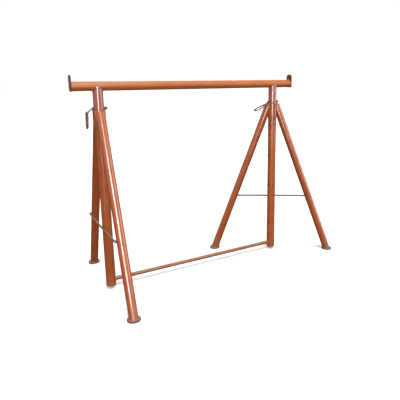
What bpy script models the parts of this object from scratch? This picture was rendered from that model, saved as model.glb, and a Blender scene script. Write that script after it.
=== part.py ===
"""Adjustable steel trestle (folding sawhorse).

A welded frame (top beam, two uprights, bottom rail, two end stops) slides up and down in
two leg sets. Each leg set is a sleeve with two splayed tube legs, two disc feet and a stay
rod, and it swivels about its upright so that the trestle folds flat. A lock pin through
each upright rests on a thrust washer on top of the sleeve, and hangs a pull ring.

Metres, +Z up, floor at z = 0. The beam runs along X, and the origin is the middle of the
footprint box. Blender 4.5: run it from the text editor or with --background --python.
"""

import math

import bpy
from mathutils import Matrix, Vector

# ---- driving dimensions ------------------------------------------------------------
GAP = 0.0003                    # clearance kept between neighbouring solids

UPRIGHT_SPACING = 1.000         # between the axes of the two uprights
UPRIGHT_RADIUS = 0.02415        # 48.3 mm tube
UPRIGHT_WALL = 0.0029
UPRIGHT_BOTTOM = 0.0150         # height of the open lower end above the floor

BEAM_RADIUS = 0.02225           # 44.5 mm tube
BEAM_WALL = 0.0029
BEAM_AXIS_Z = 1.0320
BEAM_OVERHANG = 0.1170          # from an upright's axis to the end of the tube

STOP_THICKNESS = 0.0060
STOP_WIDTH = 0.0460
STOP_BELOW_BEAM = 0.0010        # how far the plate reaches under the beam
STOP_ABOVE_BEAM = 0.0300        # how far it stands up as a stop
STOP_CORNER = 0.0170            # radius of its upper corners
STOP_LOWER_CORNER = 0.0070

RAIL_RADIUS = 0.0100
RAIL_AXIS_Z = 0.0430

SLEEVE_RADIUS = 0.03015         # 60.3 mm tube
SLEEVE_BORE = 0.0249
SLEEVE_TOP = 0.9180
SLEEVE_LENGTH = 0.0830

WASHER_THICKNESS = 0.0030
WASHER_RADIUS = 0.0302

LEG_RADIUS = 0.0212             # 42.4 mm tube
LEG_WALL = 0.0026
LEG_APEX_Z = 0.9700             # where the two leg axes would cross the upright's axis
LEG_TOP_DROP = 0.0015           # from the sleeve's top down to the cut top of a leg
FOOT_REACH = 0.3570             # from the upright's axis to a foot's centre

FOOT_RADIUS = 0.0315
FOOT_THICKNESS = 0.0060
FOOT_EDGE = 0.0020              # rounding of the disc's edge

STAY_RADIUS = 0.0050
STAY_Z = 0.3390
STAY_BOW = 0.0045               # how far the middle bows out to pass the upright
STAY_OVERRUN = 0.0120           # how far each end runs past the middle of its leg

PIN_RADIUS = 0.0070
PIN_HOLE_RADIUS = 0.0075
PIN_TIP = 0.0390                # from the upright's axis to the plain end
PIN_BUTT = 0.0310               # from the upright's axis to the end with the tail
TAIL_RADIUS = 0.0032
EYE_REACH = 0.0560              # from the upright's axis to the eye's centre
EYE_DROP = 0.0210               # from the pin's axis down to the eye's centre
EYE_RADIUS = 0.0075
EYE_HOLE_RADIUS = 0.0044
EYE_THICKNESS = 0.0060

RING_LENGTH = 0.0720            # of the oblong pull ring, along the middle of the wire
RING_WIDTH = 0.0380
RING_WIRE_RADIUS = 0.0036
RING_LEAN_RATIO = 1.15          # a ring's lean for each degree of its leg set's swivel

HOLE_DROPS = (0.0, 0.137, 0.323, 0.509)     # pin holes, down from the one in use

SWIVEL_DEG = {"left": 2.4, "right": 58.3}   # leg set from square, about +Z, as it stands

# ---- derived places ----------------------------------------------------------------
LEG_SLOPE = FOOT_REACH / LEG_APEX_Z
PIN_Z = SLEEVE_TOP + GAP + WASHER_THICKNESS + GAP + PIN_RADIUS
BEAM_END = UPRIGHT_SPACING / 2 + BEAM_OVERHANG + GAP + STOP_THICKNESS
RIGHT_REACH = (UPRIGHT_SPACING / 2
               + FOOT_REACH * math.sin(math.radians(SWIVEL_DEG["right"])) + FOOT_RADIUS)
CENTRE_X = (BEAM_END - RIGHT_REACH) / 2     # puts the origin under the middle of the box
UPRIGHT_X = {"left": CENTRE_X - UPRIGHT_SPACING / 2, "right": CENTRE_X + UPRIGHT_SPACING / 2}

ORANGE = (0.52, 0.155, 0.055)
DARK_ORANGE = (0.36, 0.105, 0.040)
PIN_STEEL = (0.20, 0.16, 0.13)
WASHER_STEEL = (0.42, 0.30, 0.26)


# ---- scene and materials -----------------------------------------------------------
def clear_scene():
    for obj in list(bpy.data.objects):
        bpy.data.objects.remove(obj)


def make_collection(name):
    collection = bpy.data.collections.new(name)
    bpy.context.scene.collection.children.link(collection)
    return collection


def make_material(name, colour, roughness, metallic):
    material = bpy.data.materials.new(name)
    material.use_nodes = True
    shader = material.node_tree.nodes["Principled BSDF"]
    shader.inputs["Base Color"].default_value = (*colour, 1.0)
    shader.inputs["Roughness"].default_value = roughness
    shader.inputs["Metallic"].default_value = metallic
    material.diffuse_color = (*colour, 1.0)
    return material


def move_to(obj, collection):
    for old in list(obj.users_collection):
        old.objects.unlink(obj)
    collection.objects.link(obj)


def finish(obj, name, material, parent=None, sharp_deg=35.0):
    """Names a part, gives it its material and parent, and shades its round faces smooth."""
    obj.name = name
    obj.data.name = name
    obj.data.materials.clear()
    obj.data.materials.append(material)
    move_to(obj, PARTS)
    obj.data.shade_smooth()
    obj.data.set_sharp_from_angle(angle=math.radians(sharp_deg))
    if parent is not None:
        obj.parent = parent
        obj.matrix_parent_inverse = parent.matrix_world.inverted()
    return obj


def make_pivot(name, location, parent=None):
    """An empty on a joint's axis, which the moving piece hangs from."""
    pivot = bpy.data.objects.new(name, None)
    pivot.empty_display_size = 0.05
    PARTS.objects.link(pivot)
    pivot.location = location
    bpy.context.view_layer.update()
    if parent is not None:
        pivot.parent = parent
        pivot.matrix_parent_inverse = parent.matrix_world.inverted()
    return pivot


# ---- shapes ------------------------------------------------------------------------
def cylinder(start, end, radius, sides=32):
    """A primitive cylinder from one point to another."""
    axis = end - start
    bpy.ops.mesh.primitive_cylinder_add(vertices=sides, radius=radius, depth=axis.length)
    obj = bpy.context.object
    turn = axis.to_track_quat("Z", "Y").to_matrix().to_4x4()
    obj.data.transform(Matrix.Translation((start + end) / 2) @ turn)
    return obj


def box(low, high):
    """A primitive cube stretched between two corners."""
    bpy.ops.mesh.primitive_cube_add(size=1.0)
    obj = bpy.context.object
    size = high - low
    obj.data.transform(Matrix.Translation((low + high) / 2) @ Matrix.Diagonal((*size, 1.0)))
    return obj


def boolean(obj, tool, operation):
    """Cuts or joins with a tool, which goes to the cutters' collection."""
    modifier = obj.modifiers.new(operation.title(), "BOOLEAN")
    modifier.operation = operation
    modifier.solver = "EXACT"
    modifier.object = tool
    tool.hide_render = True
    tool.display_type = "WIRE"
    move_to(tool, CUTTERS)


def baked(obj):
    """Applies an object's modifiers, so that it can be cut again or used as a tool."""
    bpy.context.view_layer.update()
    evaluated = obj.evaluated_get(bpy.context.evaluated_depsgraph_get())
    mesh = bpy.data.meshes.new_from_object(evaluated)
    obj.modifiers.clear()
    obj.data = mesh
    return obj


def tube(start, end, radius, bore, sides=32):
    """A straight tube, open at both ends."""
    obj = cylinder(start, end, radius, sides)
    reach = (end - start).normalized() * 0.01
    boolean(obj, cylinder(start - reach, end + reach, bore, sides), "DIFFERENCE")
    return obj


def round_bar(points, radius, closed=False):
    """A bent round bar as a curve, made into a mesh; an open one has filled caps."""
    curve = bpy.data.curves.new("bar", "CURVE")
    curve.dimensions = "3D"
    curve.bevel_depth = radius
    curve.bevel_resolution = 4
    curve.use_fill_caps = not closed
    spline = curve.splines.new("POLY")
    spline.points.add(len(points) - 1)
    spline.use_cyclic_u = closed
    for point, place in zip(spline.points, points):
        point.co = (*place, 1.0)
    guide = bpy.data.objects.new("bar", curve)
    bpy.context.scene.collection.objects.link(guide)
    bpy.context.view_layer.update()
    evaluated = guide.evaluated_get(bpy.context.evaluated_depsgraph_get())
    mesh = bpy.data.meshes.new_from_object(evaluated)
    obj = bpy.data.objects.new("bar_mesh", mesh)
    obj.matrix_world = guide.matrix_world
    bpy.context.scene.collection.objects.link(obj)
    bpy.data.objects.remove(guide)
    weld = obj.modifiers.new("Caps", "WELD")
    weld.merge_threshold = 0.00001
    return baked(obj)


def arc(centre, radius, start_deg, end_deg, steps):
    """Points of an arc in the XZ plane; 0 degrees is +X and 90 is +Z."""
    points = []
    for step in range(steps + 1):
        angle = math.radians(start_deg + (end_deg - start_deg) * step / steps)
        points.append(centre + Vector((math.cos(angle), 0.0, math.sin(angle))) * radius)
    return points


# ---- sliding frame -----------------------------------------------------------------
def make_top_beam():
    end = UPRIGHT_SPACING / 2 + BEAM_OVERHANG
    beam = tube(Vector((CENTRE_X - end, 0, BEAM_AXIS_Z)), Vector((CENTRE_X + end, 0, BEAM_AXIS_Z)),
                BEAM_RADIUS, BEAM_RADIUS - BEAM_WALL)
    finish(beam, "top_beam", PAINT)


def make_end_stop(side, outward):
    """A plate across the beam's end, with round corners, standing above the beam."""
    inner = CENTRE_X + outward * (UPRIGHT_SPACING / 2 + BEAM_OVERHANG + GAP)
    outer = inner + outward * STOP_THICKNESS
    bottom = BEAM_AXIS_Z - BEAM_RADIUS - STOP_BELOW_BEAM
    top = BEAM_AXIS_Z + BEAM_RADIUS + STOP_ABOVE_BEAM
    half = STOP_WIDTH / 2
    corners = ((1, top, -1, STOP_CORNER), (-1, top, -1, STOP_CORNER),
               (-1, bottom, 1, STOP_LOWER_CORNER), (1, bottom, 1, STOP_LOWER_CORNER))
    outline = []
    for quarter, (across, edge, inward, radius) in enumerate(corners):
        centre = Vector((across * (half - radius), 0.0, edge + inward * radius))
        first = 90.0 * quarter
        outline += [(point.x, point.z) for point in arc(centre, radius, first, first + 90.0, 8)]
    curve = bpy.data.curves.new("stop", "CURVE")
    curve.dimensions = "2D"
    curve.fill_mode = "BOTH"
    curve.extrude = STOP_THICKNESS / 2
    spline = curve.splines.new("POLY")
    spline.points.add(len(outline) - 1)
    spline.use_cyclic_u = True
    for point, (across, height) in zip(spline.points, outline):
        point.co = (across, height, 0.0, 1.0)
    guide = bpy.data.objects.new("stop", curve)
    bpy.context.scene.collection.objects.link(guide)
    upright = Matrix(((0, 0, 1, 0), (1, 0, 0, 0), (0, 1, 0, 0), (0, 0, 0, 1)))
    guide.matrix_world = Matrix.Translation(((inner + outer) / 2, 0.0, 0.0)) @ upright
    bpy.context.view_layer.update()
    evaluated = guide.evaluated_get(bpy.context.evaluated_depsgraph_get())
    plate = bpy.data.objects.new("stop_mesh", bpy.data.meshes.new_from_object(evaluated))
    plate.data.transform(guide.matrix_world)
    bpy.context.scene.collection.objects.link(plate)
    bpy.data.objects.remove(guide)
    weld = plate.modifiers.new("Caps", "WELD")
    weld.merge_threshold = 0.00001
    finish(baked(plate), "end_stop_" + side, PAINT)


def make_upright(side):
    """A tube coped to the beam, with a row of pin holes along X and an open lower end."""
    x = UPRIGHT_X[side]
    upright = tube(Vector((x, 0, UPRIGHT_BOTTOM)), Vector((x, 0, BEAM_AXIS_Z)),
                   UPRIGHT_RADIUS, UPRIGHT_RADIUS - UPRIGHT_WALL)
    reach = Vector((2 * UPRIGHT_RADIUS, 0, 0))
    saddle = Vector((x, 0, BEAM_AXIS_Z))
    boolean(upright, cylinder(saddle - 2 * reach, saddle + 2 * reach, BEAM_RADIUS + GAP), "DIFFERENCE")
    for drop in HOLE_DROPS:
        centre = Vector((x, 0, PIN_Z - drop))
        boolean(upright, cylinder(centre - reach, centre + reach, PIN_HOLE_RADIUS, 20), "DIFFERENCE")
    finish(upright, "upright_" + side, PAINT)


def make_bottom_rail():
    """A round bar coped to both uprights."""
    left = Vector((UPRIGHT_X["left"], 0, RAIL_AXIS_Z))
    right = Vector((UPRIGHT_X["right"], 0, RAIL_AXIS_Z))
    rail = cylinder(left, right, RAIL_RADIUS, 24)
    lift = Vector((0, 0, 0.05))
    for end in (left, right):
        boolean(rail, cylinder(end - lift, end + lift, UPRIGHT_RADIUS + GAP), "DIFFERENCE")
    finish(rail, "bottom_rail", PAINT)


# ---- leg sets ----------------------------------------------------------------------
def leg_frame(side):
    """The upright's foot point, the back leg's direction and the outward face's direction."""
    turn = math.radians(SWIVEL_DEG[side])
    back = Vector((-math.sin(turn), math.cos(turn), 0.0))
    face = Vector((math.cos(turn), math.sin(turn), 0.0))
    if side == "left":
        face = -face
    return Vector((UPRIGHT_X[side], 0.0, 0.0)), back, face


def make_washer(side, pivot):
    x = UPRIGHT_X[side]
    bottom = SLEEVE_TOP + GAP
    washer = tube(Vector((x, 0, bottom)), Vector((x, 0, bottom + WASHER_THICKNESS)),
                  WASHER_RADIUS, SLEEVE_BORE)
    finish(washer, "thrust_washer_" + side, WASHER, pivot)


def make_sleeve(side, pivot):
    x = UPRIGHT_X[side]
    sleeve = tube(Vector((x, 0, SLEEVE_TOP - SLEEVE_LENGTH)), Vector((x, 0, SLEEVE_TOP)),
                  SLEEVE_RADIUS, SLEEVE_BORE)
    finish(sleeve, "sleeve_" + side, PAINT, pivot)


def make_leg(side, name, direction, pivot):
    """A splayed tube, cut level at both ends and coped round the sleeve."""
    foot_point = Vector((UPRIGHT_X[side], 0.0, 0.0))
    apex = foot_point + Vector((0, 0, LEG_APEX_Z))
    floor = foot_point + direction * FOOT_REACH
    past = (floor - apex).normalized() * 0.05
    leg = tube(apex, floor + past, LEG_RADIUS, LEG_RADIUS - LEG_WALL, 28)
    far = Vector((1.0, 1.0, 0.0))
    sole = FOOT_THICKNESS + GAP
    boolean(leg, box(floor - far - Vector((0, 0, 0.2)), floor + far + Vector((0, 0, sole))), "DIFFERENCE")
    top = SLEEVE_TOP - LEG_TOP_DROP
    boolean(leg, box(foot_point - far + Vector((0, 0, top)), foot_point + far + Vector((0, 0, 1.2))),
            "DIFFERENCE")
    boolean(leg, cylinder(foot_point + Vector((0, 0, 0.5)), foot_point + Vector((0, 0, 1.1)),
                          SLEEVE_RADIUS + GAP), "DIFFERENCE")
    finish(leg, f"leg_{side}_{name}", PAINT, pivot)


def make_foot(side, name, direction, pivot):
    """A flat disc with a rounded edge, turned from its profile."""
    centre = Vector((UPRIGHT_X[side], 0.0, 0.0)) + direction * FOOT_REACH
    profile = [Vector((0.0, 0.0, FOOT_THICKNESS))]
    profile += arc(Vector((FOOT_RADIUS - FOOT_EDGE, 0.0, FOOT_THICKNESS - FOOT_EDGE)),
                   FOOT_EDGE, 90.0, 0.0, 3)
    profile += [Vector((FOOT_RADIUS, 0.0, FOOT_EDGE / 2)), Vector((FOOT_RADIUS - FOOT_EDGE / 2, 0.0, 0.0)),
                Vector((0.0, 0.0, 0.0))]
    mesh = bpy.data.meshes.new("foot")
    mesh.from_pydata(profile, [(i, i + 1) for i in range(len(profile) - 1)], [])
    foot = bpy.data.objects.new("foot", mesh)
    bpy.context.scene.collection.objects.link(foot)
    screw = foot.modifiers.new("Turn", "SCREW")
    screw.steps = 32
    screw.render_steps = 32
    screw.use_merge_vertices = True
    screw.merge_threshold = 0.00001
    foot = baked(foot)
    foot.data.transform(Matrix.Translation(centre))
    finish(foot, f"foot_{side}_{name}", PAINT_DARK, pivot)


def make_stay(side, back, face, pivot):
    """A round bar welded to the outer faces of both legs, bowed out past the upright."""
    reach = (LEG_APEX_Z - STAY_Z) * LEG_SLOPE + STAY_OVERRUN
    base = Vector((UPRIGHT_X[side], 0.0, STAY_Z))
    near = LEG_RADIUS + STAY_RADIUS + GAP
    points = []
    for step in range(17):
        along = -1.0 + step / 8
        bow = STAY_BOW * (1.0 - along * along) ** 0.5 if abs(along) < 1.0 else 0.0
        points.append(base + back * reach * along + face * (near + bow))
    finish(round_bar(points, STAY_RADIUS), "stay_rod_" + side, STAY, pivot)


def make_leg_set(side):
    foot_point, back, face = leg_frame(side)
    height = make_pivot("height_" + side, foot_point + Vector((0, 0, SLEEVE_TOP)))
    swivel = make_pivot("swivel_" + side, foot_point + Vector((0, 0, SLEEVE_TOP)), height)
    make_washer(side, height)
    make_sleeve(side, swivel)
    for name, direction in (("back", back), ("front", -back)):
        make_leg(side, name, direction, swivel)
        make_foot(side, name, direction, swivel)
    make_stay(side, back, face, swivel)


# ---- lock pins ---------------------------------------------------------------------
def make_lock_pin(side, pivot):
    """A straight pin with a thin tail welded to it, which ends in an eye drilled along Y."""
    axis = Vector((UPRIGHT_X[side], 0.0, PIN_Z))
    butt = axis - Vector((PIN_BUTT, 0.0, 0.0))
    eye = axis + Vector((-EYE_REACH, 0.0, -EYE_DROP))
    pin = cylinder(axis + Vector((PIN_TIP, 0.0, 0.0)), butt, PIN_RADIUS, 24)
    root = butt + Vector((TAIL_RADIUS / 2, 0.0, 0.0))
    half = Vector((0.0, EYE_THICKNESS / 2, 0.0))
    boolean(pin, cylinder(root, eye, TAIL_RADIUS, 16), "UNION")
    boolean(pin, cylinder(eye - half, eye + half, EYE_RADIUS, 28), "UNION")
    boolean(pin, cylinder(eye - 3 * half, eye + 3 * half, EYE_HOLE_RADIUS, 20), "DIFFERENCE")
    finish(pin, "lock_pin_" + side, STEEL, pivot)


def make_pull_ring(side, pivot):
    """An oblong wire ring through the eye, which the swivelled leg pushes outwards."""
    eye = Vector((UPRIGHT_X[side] - EYE_REACH, 0.0, PIN_Z - EYE_DROP))
    lean = math.radians(SWIVEL_DEG[side] * RING_LEAN_RATIO)
    down = Vector((-math.sin(lean), 0.0, -math.cos(lean)))
    across = Vector((0.0, 1.0, 0.0))
    half = RING_WIDTH / 2
    points = []
    for centre, first in ((half, 0.0), (RING_LENGTH - half, math.pi)):
        for step in range(13):
            angle = first + math.pi * step / 12
            points.append(eye + down * (centre - half * math.sin(angle)) + across * half * math.cos(angle))
    finish(round_bar(points, RING_WIRE_RADIUS, closed=True), "pull_ring_" + side, STEEL, pivot)


def make_pin_set(side):
    axis = Vector((UPRIGHT_X[side], 0.0, PIN_Z))
    slide = make_pivot("pin_" + side, axis)
    swing = make_pivot("ring_" + side, axis + Vector((-EYE_REACH, 0.0, -EYE_DROP)), slide)
    make_lock_pin(side, slide)
    make_pull_ring(side, swing)


# ---- the whole trestle -------------------------------------------------------------
clear_scene()
PARTS = make_collection("folding_sawhorse")
CUTTERS = make_collection("cutters")
PAINT = make_material("orange_paint", ORANGE, 0.38, 0.0)
PAINT_DARK = make_material("worn_orange_paint", DARK_ORANGE, 0.5, 0.0)
STAY = make_material("stay_paint", DARK_ORANGE, 0.45, 0.0)
STEEL = make_material("pin_steel", PIN_STEEL, 0.45, 0.9)
WASHER = make_material("washer_steel", WASHER_STEEL, 0.4, 0.6)

make_top_beam()
make_bottom_rail()
for side, outward in (("left", -1.0), ("right", 1.0)):
    make_end_stop(side, outward)
    make_upright(side)
    make_leg_set(side)
    make_pin_set(side)
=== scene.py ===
"""Looks of an adjustable steel trestle (folding sawhorse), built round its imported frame.

Metres, +Z up, floor at z = 0, the beam along X. Tubes, bars, plates and weld beads are
surfaces worked out as whole arrays: a profile turned about an axis, or a round section
carried along a path. Each one stands for its plain solid and moves with the same body.
"""

import logging
import math
from dataclasses import dataclass
from enum import Enum
from typing import Optional, Sequence

import bmesh
import bpy
import numpy as np
from mathutils import Matrix, Vector


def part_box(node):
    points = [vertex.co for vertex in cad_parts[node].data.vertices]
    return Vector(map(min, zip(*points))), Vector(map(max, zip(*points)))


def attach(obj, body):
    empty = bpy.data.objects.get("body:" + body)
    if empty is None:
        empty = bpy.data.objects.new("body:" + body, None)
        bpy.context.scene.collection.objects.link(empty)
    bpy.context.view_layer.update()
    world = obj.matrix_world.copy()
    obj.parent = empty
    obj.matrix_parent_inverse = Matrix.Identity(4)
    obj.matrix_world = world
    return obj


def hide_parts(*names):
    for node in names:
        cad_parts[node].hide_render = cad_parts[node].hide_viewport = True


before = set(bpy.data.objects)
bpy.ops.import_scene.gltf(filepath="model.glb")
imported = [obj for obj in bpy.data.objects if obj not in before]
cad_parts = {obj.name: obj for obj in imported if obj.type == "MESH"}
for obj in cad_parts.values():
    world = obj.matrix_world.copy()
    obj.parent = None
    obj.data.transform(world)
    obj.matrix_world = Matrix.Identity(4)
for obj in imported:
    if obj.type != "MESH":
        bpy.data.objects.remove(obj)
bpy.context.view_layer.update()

Array = np.ndarray
Colour = tuple[float, float, float]
LOG = logging.getLogger("trestle")

GAP = 0.0003                # clearance between neighbouring solids
MERGE = 0.000001            # seams closer than this become one
SEAM_STEP = 0.0006          # between the points of a weld line
SEAM_POINTS = 240           # round a circular weld line
HEAT_REACH = 0.013          # how far a weld's scorch spreads
PIN_RADIUS = 0.0070
SLEEVE_BORE = 0.0249
EAST, NORTH, UP = np.eye(3)


class Side(Enum):
    """The two ends of the trestle, as seen from the front."""

    LEFT = "left"
    RIGHT = "right"


class Slot(Enum):
    """The record's material slots."""

    PAINT = "paint"
    FOOT = "foot_paint"
    STAY = "stay_paint"
    PIN = "pin_steel"
    WASHER = "washer_steel"


# ---- surfaces ----------------------------------------------------------------------
def unit(vectors: Array) -> Array:
    """Each vector divided by its length."""
    return vectors / np.linalg.norm(vectors, axis=-1, keepdims=True)


def run_along(line: Array) -> Array:
    """The distance from a line's start to each of its points."""
    return np.concatenate(((0.0,), np.cumsum(np.linalg.norm(np.diff(line, axis=0), axis=1))))


def turn(count: int) -> Array:
    """Angles round a full circle from a quarter turn before zero, the last one left out."""
    return -math.pi / 2 + 2 * math.pi * np.arange(count) / count


@dataclass(frozen=True)
class Axes:
    """A place with three square directions."""

    origin: Array
    across: Array
    over: Array
    along: Array

    def at(self, x: Array, y: Array, z: Array) -> Array:
        """Points at x across, y over and z along, from the origin.

        Args:
            x: Distances along the first direction, in any shape.
            y: Distances along the second, in a shape that fits x.
            z: Distances along the third, in a shape that fits x.

        Returns:
            An array with one more axis, of three coordinates.
        """
        x, y, z = np.broadcast_arrays(x, y, z)
        flat = x[..., None] * self.across + y[..., None] * self.over
        return self.origin + flat + z[..., None] * self.along

    def ring(self, radius: Array, angles: Array, z: Array = 0.0) -> Array:
        """Points round the long direction: (r cos a, r sin a, z)."""
        return self.at(radius * np.cos(angles), radius * np.sin(angles), z)


def upright_axes(x: float, y: float = 0.0, z: float = 0.0) -> Axes:
    """Axes whose long direction is straight up."""
    return Axes(np.array((x, y, z)), EAST, NORTH, UP)


def level_axes(x: float, z: float) -> Axes:
    """Axes whose long direction is along X."""
    return Axes(np.array((x, 0, z)), NORTH, UP, EAST)


@dataclass
class Patch:
    """A grid of points, with its own straightened coordinates and how worn each point is."""

    points: Array
    grain: Array
    wear: Array
    wrap_rows: bool = False
    wrap_columns: bool = True
    keep: Optional[Array] = None

    def quads(self) -> Array:
        """Corner numbers of the grid's cells, those not kept left out."""
        rows, columns = self.points.shape[:2]
        index = np.arange(rows * columns).reshape(rows, columns)
        if self.wrap_rows:
            index = np.vstack((index, index[:1]))
        if self.wrap_columns:
            index = np.hstack((index, index[:, :1]))
        cells = np.stack((index[:-1, :-1], index[:-1, 1:], index[1:, 1:], index[1:, :-1]), -1)
        if self.keep is not None:
            cells = cells[self.keep]
        return cells.reshape(-1, 4)


def turned(axes: Axes, radii: Array, heights: Array, sides: int = 96,
           closed: bool = False, wear: Optional[Array] = None) -> Patch:
    """A profile turned about an axis: a point is (r cos a, r sin a, h) in the axes.

    Args:
        axes: Where the profile turns, about their long direction.
        radii: The distance of each row of points from the axis.
        heights: The height of each row, or of each row at each angle.
        sides: Points round the circle.
        closed: Whether the last row joins the first, as on the wall of a tube.
        wear: How worn each row is, from 0 to 1.

    Returns:
        The grid, with a row for each radius and a column for each angle.
    """
    angles = turn(sides)
    x = radii[:, None] * np.cos(angles)
    y = radii[:, None] * np.sin(angles)
    z = np.broadcast_to(heights if heights.ndim == 2 else heights[:, None], x.shape)
    worn = np.zeros(len(radii)) if wear is None else wear
    return Patch(axes.at(x, y, z), np.stack((x, y, z), -1),
                 np.broadcast_to(worn[:, None], x.shape), wrap_rows=closed)


def swept(path: Array, radii: Array, lean: Array, closed: bool = False,
          sides: int = 16, wear: float = 0.0) -> Patch:
    """A round section carried along a path: path + r (cos a N + sin a B).

    N is the lean direction made square to the path, and B is square to both.

    Args:
        path: The points of the path.
        radii: The section's radius at each point; none at the ends of an open path.
        lean: A direction for each point that isn't along the path.
        closed: Whether the path joins its start.
        sides: Points round the section.
        wear: How worn the whole piece is.

    Returns:
        The grid, with a row for each point of the path.
    """
    if closed:
        tangent = unit(np.roll(path, -1, axis=0) - np.roll(path, 1, axis=0))
    else:
        steps = np.gradient(path, axis=0)
        still = np.linalg.norm(steps, axis=1) < MERGE
        steps[still] = path[-1] - path[0]
        tangent = unit(steps)
    square = unit(lean - np.sum(lean * tangent, axis=1, keepdims=True) * tangent)
    beside = np.cross(tangent, square)
    angles = turn(sides)
    x = radii[:, None] * np.cos(angles)
    y = radii[:, None] * np.sin(angles)
    points = path[:, None, :] + x[..., None] * square[:, None, :]
    points = points + y[..., None] * beside[:, None, :]
    return Patch(points, points, np.full(x.shape, wear), wrap_rows=closed)


def capped(path: Array, radius: float, chamfer: float) -> tuple[Array, Array]:
    """A path and its radii with flat, chamfered ends: a centre point, a rim, then the wall.

    Args:
        path: The points of the path.
        radius: The section's radius along it.
        chamfer: How much the rim is cut back, along and across.

    Returns:
        The longer path, and a radius for each of its points.
    """
    first = unit(path[1] - path[0]) * chamfer
    last = unit(path[-2] - path[-1]) * chamfer
    inner = path[1:-1]
    points = np.vstack((path[0], path[0] + first * 0.01, path[0] + first, inner,
                        path[-1] + last, path[-1] + last * 0.01, path[-1]))
    radii = np.full(len(points), radius)
    radii[[0, -1]] = 0.0
    radii[[1, -2]] = radius - chamfer
    return points, radii


@dataclass(frozen=True)
class Wall:
    """The section of a tube's wall: an outer side, a rounded lip, a bore and another lip.

    Each row has a radius and three weights, and its height at an angle is
    foot * start + head * end + level, with start and end the cut ends at that angle.
    """

    radius: float
    bore: float
    lip: float = 0.0005

    def rows(self, foot: Array, head: Array, level: Array,
             inner: int = 0) -> tuple[Array, Array, Array, Array]:
        """Rows of the whole section from those of its outer side, in order upwards.

        Args:
            foot: How much each row follows the lower end.
            head: How much each row follows the upper end.
            level: What is added to each row's height.
            inner: Rows left on the bore, or 0 for as many as outside.

        Returns:
            Radii, foot weights, head weights and levels.
        """
        bend = np.radians((30.0, 60.0, 90.0))
        shrink, rise = self.lip * (1 - np.cos(bend)), self.lip * (np.sin(bend) - 1)
        pick = np.arange(len(foot))[::-1]
        if inner:
            pick = np.linspace(len(foot) - 1, 0, inner).round().astype(int)
        none, one = np.zeros(3), np.ones(3)
        low = 1.0 if foot[0] else 0.0
        lowest = 0.0 if foot[0] else level[0] - self.lip
        radii = (np.full(len(foot), self.radius), self.radius - shrink, self.bore + shrink[::-1],
                 np.full(len(pick), self.bore), self.bore + shrink, self.radius - shrink[::-1])
        feet = (foot, none, none, foot[pick], one * low, one * low)
        heads = (head, one, one, head[pick], none, none)
        levels = (level, rise, rise[::-1], level[pick], lowest - rise, lowest - rise[::-1])
        return tuple(np.concatenate(part) for part in (radii, feet, heads, levels))

    def even(self, count: int, inner: int = 6) -> tuple[Array, Array, Array, Array]:
        """Rows spread evenly between the two ends."""
        share = np.linspace(0.0, 1.0, count)
        return self.rows(1.0 - share, share, self.lip * (1.0 - 2.0 * share), inner)


def end_wear(radii: Array, heights: Array, wall: Wall, reach: float = 0.006) -> Array:
    """Wear that is full on a tube's lips and fades along the wall, exp(-distance / reach).

    Args:
        radii: The radius of each row.
        heights: The height of each row.
        wall: The tube's wall.
        reach: How far the wear spreads.

    Returns:
        How worn each row is.
    """
    low, high = heights.min(), heights.max()
    near = np.minimum(heights - low, high - heights)
    fade = np.exp(-near / reach)
    return np.where((radii < wall.radius) & (radii > wall.bore), 1.0, fade)


def bead(path: Array, radius: float, lean: Array, closed: bool = True,
         pitch: float = 0.0023) -> Patch:
    """A weld bead: a round section whose radius swells at each ripple, and tapers if open.

    The radius is R (1 + 0.14 |sin(pi s / pitch)| + slow waves), with s the distance run.

    Args:
        path: The line where the two parts meet.
        radius: The bead's usual radius.
        lean: A direction for each point that isn't along the path.
        closed: Whether the bead runs all the way round.
        pitch: The length of one ripple.

    Returns:
        The grid.
    """
    ends = path[:1] if closed else path[-1:]
    run = run_along(np.vstack((path, ends)))
    whole = run[-1]
    share = run[:-1] / whole
    ripples = max(1, round(whole / pitch))
    swell = 1.0 + 0.14 * np.abs(np.sin(math.pi * ripples * share))
    swell += 0.07 * np.sin(2 * math.pi * 3 * share + 1.0) + 0.05 * np.sin(2 * math.pi * 7 * share)
    radii = radius * swell
    if not closed:
        radii = radii * np.sqrt(np.clip(1.0 - np.abs(2.0 * share - 1.0) ** 6, 0.0, 1.0))
        radii[[0, -1]] = 0.0
    return swept(path, radii, lean, closed=closed, sides=12, wear=0.35)


def resampled(path: Array, step: float, closed: bool) -> Array:
    """The same path with its points a steady step apart.

    Args:
        path: The points of the path.
        step: The distance wanted between points.
        closed: Whether the path joins its start.

    Returns:
        The new points.
    """
    line = np.vstack((path, path[:1])) if closed else path
    run = run_along(line)
    count = max(8, round(run[-1] / step))
    places = np.linspace(0.0, run[-1], count + 1)
    even = np.stack([np.interp(places, run, line[:, axis]) for axis in range(3)], axis=1)
    return even[:-1] if closed else even


def closeness(points: Array, seams: Sequence[Array], reach: float) -> Array:
    """How near each point is to the nearest seam: exp(-(distance / reach) squared).

    Args:
        points: The points.
        seams: Weld lines; only some of their points are used.
        reach: The distance at which it has mostly faded.

    Returns:
        A number from 0 to 1 for each point.
    """
    if not seams:
        return np.zeros(len(points))
    thinned, batch = 3, 64
    line = np.vstack([seam[::thinned] for seam in seams])
    best = np.full(len(points), 1.0)
    for block in range(0, len(line), batch):
        apart = points[:, None, :] - line[None, block:block + batch, :]
        best = np.minimum(best, np.sqrt((apart ** 2).sum(-1)).min(1))
    return np.exp(-(best / reach) ** 2)


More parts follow.
